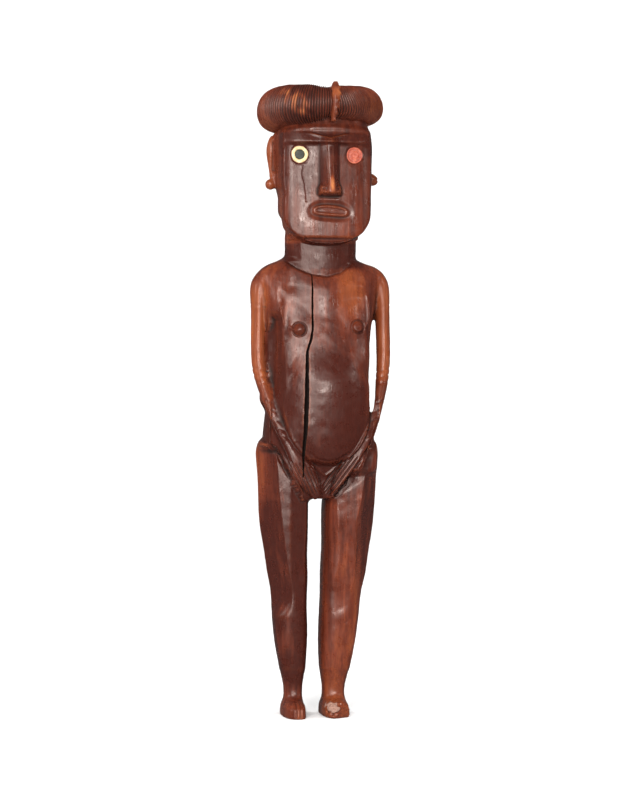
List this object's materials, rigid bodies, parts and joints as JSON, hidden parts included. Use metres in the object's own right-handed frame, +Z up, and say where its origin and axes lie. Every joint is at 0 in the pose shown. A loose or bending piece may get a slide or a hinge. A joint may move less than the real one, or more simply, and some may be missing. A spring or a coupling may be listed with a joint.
{
  "type": "carved standing female figure",
  "caption": "Tall carved wooden female figure with a grooved hair roll, hands on the groin, drilled wax-filled eye sockets and a shell ring eye.",
  "frame": {"origin": "middle of the box round the figure, on the ground under the feet", "axes": "+Z up, -Y the way the figure faces, +X the figure's own left"},
  "size_m": [0.089, 0.075, 0.4],
  "materials": {
    "carved_wood": "oiled and hand polished",
    "red_wax": "satin",
    "shell": "satin",
    "dark_resin": "gloss"
  },
  "bodies": {
    "root": {"carved_figure": "carved_wood", "right_eye_wax": "red_wax", "right_eye_ring": "shell", "right_eye_plug": "dark_resin", "left_eye_wax": "red_wax"}
  },
  "joints": []
}
